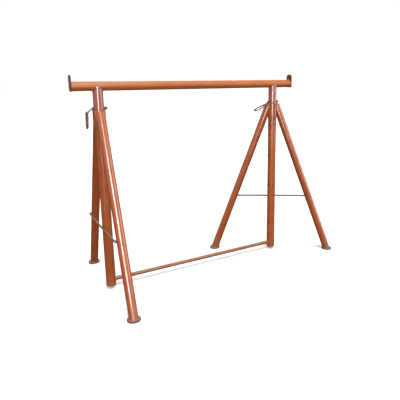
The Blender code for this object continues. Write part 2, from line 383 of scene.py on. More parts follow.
def make_mesh(name: str, patches: Sequence[Patch], seams: Sequence[Array],
              sharp_deg: float) -> bpy.types.Mesh:
    """Puts patches into one mesh, closes their seams and turns its faces outwards.

    Args:
        name: The mesh's name.
        patches: The grids that make up the piece.
        seams: Weld lines; the mesh keeps how near each point is to them.
        sharp_deg: Edges that bend more than this stay sharp.

    Returns:
        The finished mesh.
    """
    points = np.concatenate([patch.points.reshape(-1, 3) for patch in patches])
    counts = np.cumsum([0] + [patch.points.size // 3 for patch in patches])
    faces = np.concatenate([patch.quads() + first for patch, first in zip(patches, counts)])
    mesh = bpy.data.meshes.new(name)
    mesh.vertices.add(len(points))
    mesh.vertices.foreach_set("co", points.ravel())
    mesh.loops.add(faces.size)
    mesh.loops.foreach_set("vertex_index", faces.ravel())
    mesh.polygons.add(len(faces))
    mesh.polygons.foreach_set("loop_start", np.arange(0, faces.size, 4))
    mesh.update(calc_edges=True)
    wear = np.concatenate([patch.wear.ravel() for patch in patches])
    grain = np.concatenate([patch.grain.ravel() for patch in patches])
    for label, kind, field, values in (
            ("wear", "FLOAT", "value", wear),
            ("heat", "FLOAT", "value", closeness(points, seams, HEAT_REACH)),
            ("grain", "FLOAT_VECTOR", "vector", grain)):
        mesh.attributes.new(label, kind, "POINT").data.foreach_set(field, values)
    work = bmesh.new()
    work.from_mesh(mesh)
    bmesh.ops.remove_doubles(work, verts=work.verts, dist=MERGE)
    bmesh.ops.recalc_face_normals(work, faces=work.faces)
    work.to_mesh(mesh)
    work.free()
    mesh.shade_smooth()
    mesh.set_sharp_from_angle(angle=math.radians(sharp_deg))
    return mesh


def show(name: str, data: bpy.types.ID) -> bpy.types.Object:
    """A new object, put in the scene.

    Args:
        name: Its name.
        data: Its mesh, light or camera.

    Returns:
        The object.
    """
    shown = bpy.data.objects.new(name, data)
    bpy.context.scene.collection.objects.link(shown)
    return shown


# ---- finishes ----------------------------------------------------------------------
class Tree:
    """Short ways to place and join the nodes of one material or group."""

    def __init__(self, tree: bpy.types.NodeTree) -> None:
        """Keeps the tree that nodes go into."""
        self.tree = tree

    def add(self, kind: str, **values: object) -> bpy.types.Node:
        """A new node.

        Args:
            kind: The node's type.
            values: The node's own settings.

        Returns:
            The node.
        """
        node = self.tree.nodes.new(kind)
        for name, value in values.items():
            setattr(node, name, value)
        return node

    def fill(self, node: bpy.types.Node, inputs: dict) -> bpy.types.Node:
        """Sets a node's inputs, or joins them where the value is a socket.

        Args:
            node: The node.
            inputs: Values or sockets by the input's name or number.

        Returns:
            The same node.
        """
        for name, value in inputs.items():
            if isinstance(value, bpy.types.NodeSocket):
                self.tree.links.new(value, node.inputs[name])
            else:
                node.inputs[name].default_value = value
        return node

    def math(self, operation: str, first: object, second: object = 0.0) -> bpy.types.NodeSocket:
        """The result of a sum, kept between 0 and 1.

        Args:
            operation: The kind of sum.
            first: A number or a socket.
            second: Another.

        Returns:
            The result.
        """
        node = self.add("ShaderNodeMath", operation=operation, use_clamp=True)
        self.fill(node, {0: first, 1: second})
        return node.outputs[0]

    def blend(self, share: object, first: object, second: object) -> bpy.types.NodeSocket:
        """Two colours mixed.

        Args:
            share: How much of the second, from 0 to 1.
            first: A colour or a socket.
            second: Another.

        Returns:
            The mixed colour.
        """
        node = self.add("ShaderNodeMix", data_type="RGBA")
        self.fill(node, {0: share, 6: first, 7: second})
        return node.outputs[2]

    def between(self, share: object, low: object, high: object) -> bpy.types.NodeSocket:
        """A number between two others.

        Args:
            share: How near the second, from 0 to 1.
            low: A number or a socket.
            high: Another.

        Returns:
            The number.
        """
        node = self.add("ShaderNodeMix", data_type="FLOAT")
        self.fill(node, {0: share, 2: low, 3: high})
        return node.outputs[0]

    def ramp(self, value: object, low: object, high: object) -> bpy.types.NodeSocket:
        """0 below low and 1 above high, with a soft step between them.

        Args:
            value: What is tested.
            low: Where the step begins.
            high: Where it ends.

        Returns:
            The step.
        """
        node = self.add("ShaderNodeMapRange", interpolation_type="SMOOTHSTEP")
        self.fill(node, {"Value": value, "From Min": low, "From Max": high})
        return node.outputs[0]

    def noise(self, vector: object, scale: object, detail: float,
              roughness: float = 0.5) -> bpy.types.NodeSocket:
        """Smooth noise about one half.

        Args:
            vector: Its coordinates.
            scale: Its fineness.
            detail: How many finer layers it has.
            roughness: How strong they are.

        Returns:
            The noise.
        """
        node = self.add("ShaderNodeTexNoise")
        self.fill(node, {"Vector": vector, "Scale": scale, "Detail": detail,
                         "Roughness": roughness})
        return node.outputs[0]

    def place(self) -> bpy.types.NodeSocket:
        """Where a point is on the piece, in metres."""
        return self.add("ShaderNodeTexCoord").outputs["Object"]

    def stored(self, name: str, output: str = "Fac") -> bpy.types.NodeSocket:
        """A value kept on the mesh."""
        return self.add("ShaderNodeAttribute", attribute_name=name).outputs[output]

    def height(self, vector: object) -> bpy.types.NodeSocket:
        """The third coordinate of a vector."""
        return self.fill(self.add("ShaderNodeSeparateXYZ"), {0: vector}).outputs[2]

    def over(self, tint: object, colour: Colour, share: object,
             most: Optional[float] = None) -> bpy.types.NodeSocket:
        """A tint with a colour laid over it.

        Args:
            tint: The tint below.
            colour: The colour laid over it.
            share: Where it lies, from 0 to 1.
            most: The most that it may cover; all of it, if left out.

        Returns:
            The new tint.
        """
        cover = share if most is None else self.math("MULTIPLY", share, most)
        return self.blend(cover, tint, (*colour, 1))

    def bump(self, height: object, strength: float, depth: float) -> bpy.types.NodeSocket:
        """A normal bent by a height.

        Args:
            height: The height, from 0 to 1.
            strength: How strongly it bends.
            depth: What a height of 1 is, in metres.

        Returns:
            The normal.
        """
        node = self.add("ShaderNodeBump")
        self.fill(node, {"Strength": strength, "Distance": depth, "Height": height})
        return node.outputs[0]


def new_group(name: str, inputs: Sequence[tuple[str, str]],
              output: str) -> tuple[bpy.types.NodeTree, Tree, bpy.types.Node, bpy.types.Node]:
    """An empty node group with its sockets.

    Args:
        name: The group's name.
        inputs: The name and socket type of each input.
        output: The name of its one output, a number.

    Returns:
        The group, its tree, its input node and its output node.
    """
    group = bpy.data.node_groups.new(name, "ShaderNodeTree")
    for label, kind in inputs:
        group.interface.new_socket(name=label, in_out="INPUT", socket_type=kind)
    group.interface.new_socket(name=output, in_out="OUTPUT", socket_type="NodeSocketFloat")
    tree = Tree(group)
    return group, tree, tree.add("NodeGroupInput"), tree.add("NodeGroupOutput")


FLOAT, VECTOR = "NodeSocketFloat", "NodeSocketVector"


def make_patchy() -> bpy.types.NodeTree:
    """Uneven cover: noise in stretched coordinates, cut by a soft step from Low to High."""
    group, tree, given, out = new_group("patchy_cover", (
        ("Vector", VECTOR), ("Stretch", VECTOR), ("Scale", FLOAT), ("Low", FLOAT),
        ("High", FLOAT)), "Mask")
    scaled = tree.add("ShaderNodeVectorMath", operation="MULTIPLY")
    tree.fill(scaled, {0: given.outputs["Vector"], 1: given.outputs["Stretch"]})
    noise = tree.noise(scaled.outputs[0], given.outputs["Scale"], 5.0, 0.6)
    mask = tree.ramp(noise, given.outputs["Low"], given.outputs["High"])
    tree.fill(out, {"Mask": mask})
    return group


def make_chipped() -> bpy.types.NodeTree:
    """Worn edges: the wear amount plus noise, cut hard, so that chips gather on the edges."""
    group, tree, given, out = new_group("chipped_edges", (
        ("Vector", VECTOR), ("Wear", FLOAT), ("Amount", FLOAT), ("Scale", FLOAT)), "Mask")
    noise = tree.noise(given.outputs["Vector"], given.outputs["Scale"], 6.0, 0.65)
    rub_wear_and_sheen = tree.math("MULTIPLY", given.outputs["Wear"], given.outputs["Amount"])
    total = tree.add("ShaderNodeMath", operation="ADD")
    tree.fill(total, {0: rub_wear_and_sheen, 1: noise})
    tree.fill(out, {"Mask": tree.ramp(total.outputs[0], 0.86, 0.95)})
    return group


def make_skin() -> bpy.types.NodeTree:
    """Height of a sprayed skin: a fine orange peel over slow waves."""
    group, tree, given, out = new_group("sprayed_skin", (
        ("Vector", VECTOR), ("Fine", FLOAT), ("Coarse", FLOAT)), "Height")
    fine = tree.noise(given.outputs["Vector"], given.outputs["Fine"], 2.0)
    coarse = tree.noise(given.outputs["Vector"], given.outputs["Coarse"], 3.0, 0.55)
    tree.fill(out, {"Height": tree.between(0.55, fine, coarse)})
    return group


def make_settled() -> bpy.types.NodeTree:
    """Dirt near the floor: full at the floor, none above Level, broken up by noise."""
    group, tree, given, out = new_group("settled_dirt", (
        ("Vector", VECTOR), ("Level", FLOAT), ("Scale", FLOAT)), "Mask")
    noise = tree.noise(given.outputs["Vector"], given.outputs["Scale"], 4.0)
    height = tree.add("ShaderNodeMath", operation="DIVIDE")
    tree.fill(height, {0: tree.height(given.outputs["Vector"]), 1: given.outputs["Level"]})
    low = tree.math("SUBTRACT", 1.0, height.outputs[0])
    tree.fill(out, {"Mask": tree.math("MULTIPLY", low, tree.ramp(noise, 0.35, 0.65))})
    return group


class Effects:
    """The shared node groups, each built once, and how a material uses them."""

    def __init__(self) -> None:
        """Builds every group."""
        self.groups = {"patchy": make_patchy(), "chipped": make_chipped(),
                       "skin": make_skin(), "settled": make_settled()}

    def use(self, tree: Tree, group: str, place: object,
            **inputs: object) -> bpy.types.NodeSocket:
        """Places a group in a material with its own values.

        Args:
            tree: The material's tree.
            group: Which group.
            place: The coordinates it works in.
            inputs: Its other inputs, by their names.

        Returns:
            The group's output.
        """
        node = tree.add("ShaderNodeGroup", node_tree=self.groups[group])
        return tree.fill(node, {"Vector": place, **inputs}).outputs[0]

    def patches(self, tree: Tree, place: object, scale: float, low: float, high: float,
                stretch: float = 1.0) -> bpy.types.NodeSocket:
        """Uneven cover, drawn out along the third coordinate if stretch is below 1.

        Args:
            tree: The material's tree.
            place: The coordinates it works in.
            scale: Its fineness.
            low: Noise below this is left bare.
            high: Noise above this is covered.
            stretch: The scale of the third coordinate.

        Returns:
            Where it covers.
        """
        return self.use(tree, "patchy", place, Stretch=(1, 1, stretch), Scale=scale,
                        Low=low, High=high)


def start_material(name: str) -> tuple[bpy.types.Material, Tree, bpy.types.Node]:
    """A new material.

    Args:
        name: Its name.

    Returns:
        The material, its tree and its Principled shader.
    """
    material = bpy.data.materials.new(name)
    material.use_nodes = True
    return material, Tree(material.node_tree), material.node_tree.nodes["Principled BSDF"]


@dataclass(frozen=True)
class PaintFinish:
    """Sprayed workshop paint: uneven cover, runs, chips to brown steel, dirt near the floor, and a
    pinkish painted sheen high up.
    """

    name: str
    body: Colour
    thin: Colour
    pale: Colour
    roughness: float = 0.34
    specular: float = 0.5
    coat: float = 0.0
    chips: float = 0.42
    dirt_level: float = 0.10
    # Painted sheen: above this height the paint takes the pinkish tint below, a painted reflection
    # of the bright sky over the horizon.
    rub_level: float = 9.0
    rub: Colour = (0.40, 0.120, 0.105)
    bare: Colour = (0.085, 0.048, 0.030)
    dirt: Colour = (0.22, 0.13, 0.09)
    scorch: Colour = (0.21, 0.060, 0.022)

    def make(self, effects: Effects) -> bpy.types.Material:
        """Builds the material.

        Args:
            effects: The shared node groups.

        Returns:
            The material.
        """
        material, tree, shader = start_material(self.name)
        place, grain = tree.place(), tree.stored("grain", "Vector")
        wear, heat = tree.stored("wear"), tree.stored("heat")
        clouds = effects.patches(tree, place, 9.0, 0.35, 0.68)
        runs = effects.patches(tree, grain, 95.0, 0.50, 0.74, 0.09)
        specks = effects.patches(tree, place, 210.0, 0.62, 0.72)
        chips = effects.use(tree, "chipped", place, Wear=wear, Amount=self.chips, Scale=120.0)
        dirt = effects.use(tree, "settled", place, Level=self.dirt_level, Scale=38.0)
        # Painted sheen: above the level the paint turns pinkish, standing in for the reflection of
        # the bright sky in the glossy posts.
        rub_wear_and_sheen = tree.ramp(tree.height(place), self.rub_level - 0.02, self.rub_level + 0.01)
        tint = tree.blend(clouds, (*self.body, 1), (*self.thin, 1))
        tint = tree.over(tint, self.pale, runs, 0.22)
        tint = tree.over(tint, self.rub, rub_wear_and_sheen, 0.7)
        tint = tree.over(tint, self.scorch, heat, 0.55)
        tint = tree.over(tint, self.scorch, specks, 0.35)
        tint = tree.over(tint, self.dirt, dirt, 0.6)
        tint = tree.over(tint, self.bare, chips)
        gloss = tree.between(runs, self.roughness, self.roughness + 0.07)
        gloss = tree.between(heat, gloss, self.roughness + 0.14)
        gloss = tree.between(dirt, gloss, 0.62)
        gloss = tree.between(chips, gloss, 0.58)
        height = effects.use(tree, "skin", place, Fine=420.0, Coarse=60.0)
        lifted = tree.math("SUBTRACT", height, tree.math("MULTIPLY", chips, 0.35))
        tree.fill(shader, {
            "Base Color": tint, "Roughness": gloss, "Normal": tree.bump(lifted, 0.22, 0.0012),
            "Specular IOR Level": self.specular, "Coat Weight": self.coat,
            "Coat Roughness": 0.18})
        return material


@dataclass(frozen=True)
class SteelFinish:
    """Bare steel with oil and rust: dark and dull in patches, bright where it is rubbed."""

    name: str
    clean: Colour
    rusty: Colour
    roughness: float = 0.42
    metallic: float = 0.75
    rust_low: float = 0.42
    oil: Colour = (0.035, 0.022, 0.014)
    bright: Colour = (0.36, 0.31, 0.27)

    def make(self, effects: Effects) -> bpy.types.Material:
        """Builds the material.

        Args:
            effects: The shared node groups.

        Returns:
            The material.
        """
        material, tree, shader = start_material(self.name)
        place = tree.place()
        rust = effects.patches(tree, place, 130.0, self.rust_low, self.rust_low + 0.2)
        grime = effects.patches(tree, place, 45.0, 0.4, 0.7)
        # Worn spots showing bright bare steel (wear only on this finish).
        rub_wear_and_sheen = effects.use(tree, "chipped", place, Wear=tree.stored("wear"), Amount=0.45,
                             Scale=160.0)
        tint = tree.blend(rust, (*self.clean, 1), (*self.rusty, 1))
        tint = tree.over(tint, self.oil, grime, 0.5)
        tint = tree.over(tint, self.bright, rub_wear_and_sheen)
        gloss = tree.between(rust, self.roughness, 0.72)
        gloss = tree.between(rub_wear_and_sheen, gloss, 0.3)
        height = effects.use(tree, "skin", place, Fine=700.0, Coarse=160.0)
        tree.fill(shader, {
            "Base Color": tint, "Roughness": gloss, "Normal": tree.bump(height, 0.35, 0.0008),
            "Metallic": tree.between(rust, self.metallic, 0.1)})
        return material


@dataclass(frozen=True)
class Finish:
    """A material and the record's slot that it belongs to."""

    material: bpy.types.Material
    slot: Slot


class Palette:
    """Every finish on the trestle."""

    def __init__(self) -> None:
        """Builds the shared effects and then the materials."""
        effects = Effects()

        def paint(name: str, slot: Slot, *colours: Colour, **looks: float) -> Finish:
            """A paint in its usual, thin and pale colours."""
            return Finish(PaintFinish(name + "_paint", *colours, **looks).make(effects), slot)

        def steel(name: str, slot: Slot, *colours: Colour, **looks: float) -> Finish:
            """A steel in its clean and rusty colours."""
            return Finish(SteelFinish(name + "_steel", *colours, **looks).make(effects), slot)

        self.beam = paint(
            "beam", Slot.PAINT, (0.53, 0.140, 0.014), (0.46, 0.112, 0.012),
            (0.62, 0.205, 0.050), roughness=0.40)
        self.rail = paint(
            "rail", Slot.PAINT, (0.36, 0.110, 0.026), (0.27, 0.080, 0.022),
            (0.46, 0.170, 0.060), roughness=0.44)
        # The posts carry a pinkish painted sheen above 0.93 m, standing in for the reflection of
        # the bright sky above the horizon.
        self.post = paint(
            "post", Slot.PAINT, (0.50, 0.116, 0.020), (0.43, 0.094, 0.018),
            (0.60, 0.180, 0.070), roughness=0.26, specular=0.6, coat=0.2, rub_level=0.93)
        self.sleeve = paint(
            "sleeve", Slot.PAINT, (0.42, 0.096, 0.030), (0.35, 0.078, 0.026),
            (0.54, 0.170, 0.080), roughness=0.26, specular=0.6, coat=0.1)
        self.leg = paint(
            "leg", Slot.PAINT, (0.47, 0.098, 0.018), (0.40, 0.080, 0.016),
            (0.58, 0.170, 0.060), roughness=0.27, specular=0.65)
        self.stop = paint(
            "stop", Slot.PAINT, (0.17, 0.060, 0.026), (0.110, 0.040, 0.022),
            (0.26, 0.110, 0.050), roughness=0.60, specular=0.2, chips=0.60)
        self.weld = paint(
            "weld", Slot.PAINT, (0.44, 0.125, 0.050), (0.30, 0.078, 0.034),
            (0.66, 0.290, 0.170), roughness=0.30, specular=0.7, chips=0.5)
        self.foot = paint(
            "foot", Slot.FOOT, (0.30, 0.150, 0.105), (0.22, 0.105, 0.070),
            (0.46, 0.240, 0.170), roughness=0.46, chips=0.66, dirt_level=0.03)
        self.stay = paint(
            "stay", Slot.STAY, (0.21, 0.085, 0.040), (0.13, 0.060, 0.032),
            (0.34, 0.160, 0.085), roughness=0.5, chips=0.7)
        self.pin = steel(
            "pin", Slot.PIN, (0.13, 0.090, 0.062), (0.095, 0.040, 0.018),
            roughness=0.48, metallic=0.6)
        self.washer = steel(
            "washer", Slot.WASHER, (0.34, 0.16, 0.11), (0.34, 0.100, 0.045),
            metallic=0.3, rust_low=0.38)


# ---- assemblies --------------------------------------------------------------------
def centre_of(node: str) -> Array:
    """The middle of a solid's box."""
    low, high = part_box(node)
    return np.array((low + high) / 2)


@dataclass
class Assembly:
    """A sub-assembly that builds pieces and dresses them."""

    palette: Palette

    def place(self, name: str, patches: Sequence[Patch], finish: Finish, body: str,
              stands_for: Optional[str] = None, seams: Sequence[Array] = (),
              sharp_deg: float = 38.0) -> bpy.types.Object:
        """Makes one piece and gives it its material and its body.

        Args:
            name: The piece's name.
            patches: The grids of its surface.
            finish: Its material and slot.
            body: The body it moves with.
            stands_for: The solid it replaces, if any.
            seams: Weld lines on it or next to it.
            sharp_deg: Edges that bend more than this stay sharp.

        Returns:
            The piece.
        """
        piece = show(name, make_mesh(name, patches, seams, sharp_deg))
        piece.data.materials.append(finish.material)
        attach(piece, body)
        if stands_for:
            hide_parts(stands_for)
        LOG.info("%s: %d faces, moves with %s", name, len(piece.data.polygons), body)
        return piece


@dataclass
class SlidingFrame(Assembly):
    """The welded part that slides up: beam, two stops, two uprights and the bottom rail."""

    upright_radius: float = 0.02415
    upright_wall: float = 0.0029
    beam_radius: float = 0.02225
    beam_wall: float = 0.0029
    rail_radius: float = 0.0100
    pin_hole: float = 0.0075
    hole_drops: tuple[float, ...] = (0.0, 0.137, 0.323, 0.509)
    hole_zone: float = 0.0120
    hole_cells: int = 8
    beam_bead: float = 0.0026
    stop_bead: float = 0.0014
    rail_bead: float = 0.0018
    sides: int = 96
    stop_corner: float = 0.0170
    stop_lower_corner: float = 0.0070
    stop_edge: float = 0.0010

    def __post_init__(self) -> None:
        """Reads the places of the beam, the uprights, the rail and the pins."""
        self.beam_low, self.beam_high = (np.array(end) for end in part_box("top_beam"))
        self.beam_z = float(self.beam_low[2] + self.beam_high[2]) / 2
        self.upright_x = {side: float(centre_of("upright_" + side.value)[0]) for side in Side}
        self.rail_z = float(centre_of("bottom_rail")[2])
        self.pin_z = float(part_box("lock_pin_left")[1][2]) - PIN_RADIUS
        self.bottom = float(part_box("upright_left")[0][2])

    def saddle(self, over: Array, gap: float = GAP) -> Array:
        """Height of the beam's underside, y off its axis: z - sqrt(radius^2 - y^2).

        Args:
            over: Distances off the beam's axis.
            gap: Clearance added to the beam's radius.

        Returns:
            The heights.
        """
        reach = (self.beam_radius + gap) ** 2 - over ** 2
        return self.beam_z - np.sqrt(np.maximum(reach, 0.0))

    def beam_seam(self, side: Side) -> Array:
        """The closed line where an upright's outside meets the beam.

        Args:
            side: Which upright.

        Returns:
            The points of the line.
        """
        angles = turn(720)
        over = np.clip(self.upright_radius * np.sin(angles), -self.beam_radius, self.beam_radius)
        across = self.upright_x[side] + self.upright_radius * np.cos(angles)
        return resampled(np.stack((across, over, self.saddle(over, 0.0)), 1), SEAM_STEP, True)

    def stop_seam(self, outward: float) -> Array:
        """The circle where the beam meets an end stop.

        Args:
            outward: The sign of X that points away from the beam.

        Returns:
            The points of the circle.
        """
        x = self.beam_high[0] if outward > 0 else self.beam_low[0]
        axes = level_axes(x - outward * 0.0008, self.beam_z)
        return axes.ring(self.beam_radius + 0.0001, turn(SEAM_POINTS))

    def rail_seam(self, side: Side) -> Array:
        """The line where the rail meets an upright: x = sqrt(radius^2 - y^2) off its axis.

        Args:
            side: Which upright.

        Returns:
            The points of the line.
        """
        angles = turn(180)
        over = self.rail_radius * np.cos(angles)
        inward = 1.0 if side is Side.LEFT else -1.0
        across = self.upright_x[side] + inward * np.sqrt(self.upright_radius ** 2 - over ** 2)
        line = np.stack((across, over, self.rail_z + self.rail_radius * np.sin(angles)), 1)
        return resampled(line, 0.0005, True)

    def all_seams(self) -> list[Array]:
        """Every weld line on the sliding frame.

        Returns:
            The lines.
        """
        seams = [self.stop_seam(-1.0), self.stop_seam(1.0)]
        for side in Side:
            seams += [self.beam_seam(side), self.rail_seam(side)]
        return seams

    def build_beam(self) -> None:
        """The top tube: a wall's section turned about the X axis."""
        wall = Wall(self.beam_radius, self.beam_radius - self.beam_wall)
        radii, foot, head, level = wall.even(200)
        low, high = self.beam_low[0], self.beam_high[0]
        heights = foot * low + head * high + level
        patch = turned(level_axes(0.0, self.beam_z), radii, heights, self.sides, True,
                       end_wear(radii, heights, wall))
        self.place("beam_tube", [patch], self.palette.beam, "frame", "top_beam",
                   self.all_seams())

    def build_stop(self, side: Side, outward: float) -> None:
        """An end plate: its rounded outline, drawn in by each row's inset, across its thickness.

        Args:
            side: Which end of the beam.
            outward: The sign of X that points away from the beam.
        """
        node = "end_stop_" + side.value
        low, high = (np.array(end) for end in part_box(node))
        corners = ((1, high[2], -1, self.stop_corner), (-1, high[2], -1, self.stop_corner),
                   (-1, low[2], 1, self.stop_lower_corner), (1, low[2], 1, self.stop_lower_corner))
        bend = np.radians(np.linspace(0.0, 90.0, 13))
        places, normals, rounding = [], [], []
        for quarter, (across, edge, inward, radius) in enumerate(corners):
            centre = (across * (high[1] - radius), edge + inward * radius)
            bearing = bend + quarter * math.pi / 2
            facing = np.stack((np.cos(bearing), np.sin(bearing)), 1)
            places.append(np.broadcast_to(centre, facing.shape))
            normals.append(facing)
            rounding.append(np.full(len(bend), radius))
        centres, facing = np.concatenate(places), np.concatenate(normals)
        radius = np.concatenate(rounding)[:, None]
        arc = np.radians(np.linspace(0.0, 90.0, 5))
        inset = self.stop_edge * (1 - np.sin(arc))
        depth = self.stop_edge * (1 - np.cos(arc))
        insets = np.concatenate((inset, inset[::-1]))
        depths = np.concatenate((low[0] + depth, high[0] - depth[::-1]))
        rim = centres[None] + (radius[None] - insets[:, None, None]) * facing[None]
        middle = rim.mean(axis=1, keepdims=True)
        flat = np.linspace(0.0, 1.0, 7)[:-1, None, None]
        front = middle[:1] + (rim[:1] - middle[:1]) * flat
        back = middle[-1:] + (rim[-1:] - middle[-1:]) * flat[::-1]
        grid = np.concatenate((front, rim, back))
        x = np.concatenate((np.full(6, low[0]), depths, np.full(6, high[0])))
        points = np.concatenate((np.broadcast_to(x[:, None, None], (*grid.shape[:2], 1)), grid), -1)
        toward_rim = flat.ravel() ** 4 * 0.6
        worn = np.concatenate((toward_rim, np.ones(len(insets)), toward_rim[::-1]))
        patch = Patch(points, points, np.broadcast_to(worn[:, None], points.shape[:2]))
        self.place("stop_plate_" + side.value, [patch], self.palette.stop, "frame",
                   node, [self.stop_seam(outward)], sharp_deg=50.0)

    def hole_patch(self, levels: Array, first: int, middle: int, wall: Wall, x: float) -> Patch:
        """A pin hole with the walls round it, from the outer cells to the inner cells.

        Rows run from the edge of a block of cells to a circle, through the wall, and back to
        the same block on the bore: (1 - w) block + w circle in angle and height.

        Args:
            levels: Heights of the upright's rows.
            first: The row at the foot of the block.
            middle: The column at the middle of the hole.
            wall: The tube's wall.
            x: Where the upright stands.

        Returns:
            The grid that fills the block.
        """
        wide = tall = self.hole_cells
        columns = np.concatenate((np.arange(-wide, wide), np.full(tall, wide),
                                  np.arange(wide, -wide, -1), np.full(tall, -wide)))
        rows = np.concatenate((np.zeros(2 * wide, int), np.arange(tall),
                               np.full(2 * wide, tall), np.arange(tall, 0, -1)))
        angles = turn(self.sides)
        block_angle, block_level = angles[middle + columns], levels[first + rows]
        centre_angle, centre_level = angles[middle], levels[first + tall // 2]
        bearing = np.arctan2(block_level - centre_level, wall.radius * (block_angle - centre_angle))
        steps, chamfer = 6, 0.0004
        share = np.linspace(0.0, 1.0, steps)
        weights = np.concatenate((share, (1.0, 1.0), share[::-1]))[:, None]
        radii = np.concatenate((np.full(steps, wall.radius),
                                (wall.radius - chamfer, wall.bore + chamfer),
                                np.full(steps, wall.bore)))[:, None]
        holes = np.full((2 * steps + 2, 1), self.pin_hole + chamfer)
        holes[steps:steps + 2] = self.pin_hole
        round_angle = centre_angle + np.arcsin(holes * np.cos(bearing) / radii)
        round_level = centre_level + holes * np.sin(bearing)
        angle = (1 - weights) * block_angle + weights * round_angle
        level = (1 - weights) * block_level + weights * round_level
        across, over = radii * np.cos(angle), radii * np.sin(angle)
        grain = np.stack((across, over, level), -1)
        worn = np.broadcast_to(weights ** 3, level.shape)
        return Patch(upright_axes(x).at(across, over, level), grain, worn)

    def build_upright(self, side: Side) -> None:
        """A tube whose rows crowd at the pin holes and end on the beam's underside.

        Args:
            side: Which upright.
        """
        wall = Wall(self.upright_radius, self.upright_radius - self.upright_wall)
        x = self.upright_x[side]
        marks, firsts = [np.array((self.bottom + wall.lip,))], []
        for drop in reversed(self.hole_drops):
            zone = np.linspace(-self.hole_zone, self.hole_zone, self.hole_cells + 1)
            zone = zone + self.pin_z - drop
            last = marks[-1][-1]
            between = np.linspace(last, zone[0], max(2, round((zone[0] - last) / 0.009)))[1:-1]
            firsts.append(sum(len(part) for part in marks) + len(between))
            marks += [between, zone]
        levels = np.concatenate(marks)
        share = np.linspace(0.0, 1.0, 13)[1:]
        top = levels[-1]
        head = np.concatenate((np.zeros(len(levels)), share))
        level = np.concatenate((levels, (1 - share) * top - share * wall.lip))
        count = len(level)
        radii, _, heads, rows = wall.rows(np.zeros(count), head, level)
        angles = turn(self.sides)
        cut = self.saddle(radii[:, None] * np.sin(angles))
        heights = heads[:, None] * cut + rows[:, None]
        patch = turned(upright_axes(x), radii, heights, self.sides, True,
                       end_wear(radii, heights.mean(axis=1), wall, 0.010))
        keep = np.ones((len(radii), self.sides), bool)
        patches = [patch]
        cells, lip_rows = self.hole_cells, 6
        for first in firsts:
            for middle in (self.sides // 4, 3 * self.sides // 4):
                mirror = 2 * count + lip_rows - 1 - (first + cells)
                for row in (first, mirror):
                    keep[row:row + cells, middle - cells:middle + cells] = False
                patches.append(self.hole_patch(levels, first, middle, wall, x))
        patch.keep = keep
        self.place("upright_tube_" + side.value, patches, self.palette.post, "frame",
                   "upright_" + side.value, self.all_seams())

    def build_rail(self) -> None:
        """The bottom bar: its ends follow the uprights, sqrt(radius^2 - y^2) off their axes."""
        share = np.linspace(0.0, 1.0, 160)
        radii = np.concatenate(((0.0,), np.full(160, self.rail_radius), (0.0,)))
        share = np.concatenate(((0.0,), share, (1.0,)))[:, None]
        over = radii[:, None] * np.cos(turn(40))
        reach = np.sqrt((self.upright_radius + GAP) ** 2 - over ** 2)
        low = self.upright_x[Side.LEFT] + reach
        high = self.upright_x[Side.RIGHT] - reach
        heights = (1 - share) * low + share * high
        patch = turned(level_axes(0.0, self.rail_z), radii, heights, 40)
        self.place("rail_bar", [patch], self.palette.rail, "frame", "bottom_rail",
                   self.all_seams())

    def build_welds(self) -> None:
        """A bead on every weld line of the frame."""
        paint = self.palette.weld
        for side, outward in ((Side.LEFT, -1.0), (Side.RIGHT, 1.0)):
            name = side.value
            seam = self.beam_seam(side)
            lean = seam - np.array((self.upright_x[side], 0.0, self.beam_z + 0.02))
            self.place("weld_beam_" + name, [bead(seam, self.beam_bead, lean)], paint, "frame")
            seam = self.stop_seam(outward)
            lean = np.broadcast_to((outward, 0.0, 0.0), seam.shape)
            self.place("weld_stop_" + name, [bead(seam, self.stop_bead, lean)], paint, "frame")
            seam = self.rail_seam(side)
            lean = seam - np.array((self.upright_x[side], 0.0, self.rail_z))
            self.place("weld_rail_" + name, [bead(seam, self.rail_bead, lean)], paint, "frame")

    def build(self) -> None:
        """Builds every piece of the sliding frame."""
        self.build_beam()
        self.build_stop(Side.LEFT, -1.0)
        self.build_stop(Side.RIGHT, 1.0)
        for side in Side:
            self.build_upright(side)
        self.build_rail()
        self.build_welds()


